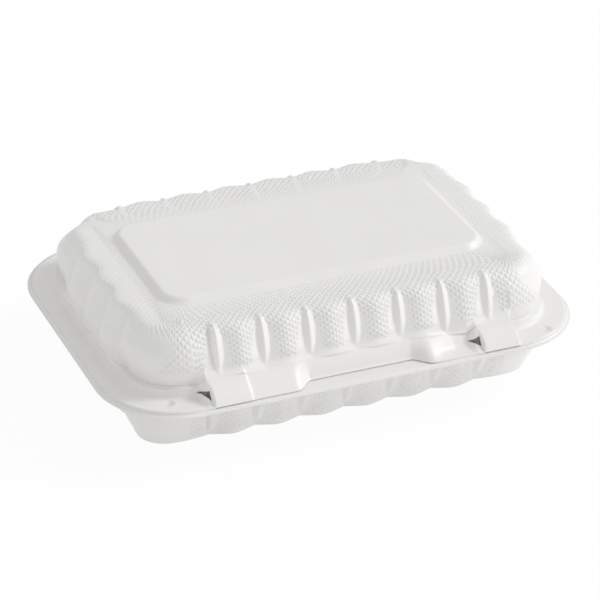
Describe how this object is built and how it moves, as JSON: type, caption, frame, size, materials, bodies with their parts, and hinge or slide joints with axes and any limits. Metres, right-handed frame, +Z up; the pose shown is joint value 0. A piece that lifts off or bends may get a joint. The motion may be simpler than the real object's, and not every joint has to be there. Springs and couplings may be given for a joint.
{
  "type": "hinged takeaway box",
  "caption": "Closed clamshell food box of thermoformed plastic: a compartment tray with padded walls and a ribbed domed lid that swings up on a crease along the back.",
  "frame": {"origin": "middle of the foot, on the table", "axes": "+X to the right along the length, +Y towards the hinge at the back, +Z up; the latches are at the front"},
  "size_m": [0.229, 0.1648, 0.0616],
  "materials": {
    "sheet": "satin white polypropylene, small diamond texture on the lid"
  },
  "bodies": {
    "tray": {"base": "sheet"},
    "cover": {"lid": "sheet"}
  },
  "joints": [
    {"name": "lid_hinge", "type": "hinge", "parent": "tray", "child": "cover", "pos_m": [0, 0.08235, 0.02965], "axis": [-1, 0, 0], "range_deg": [0, 170]}
  ]
}
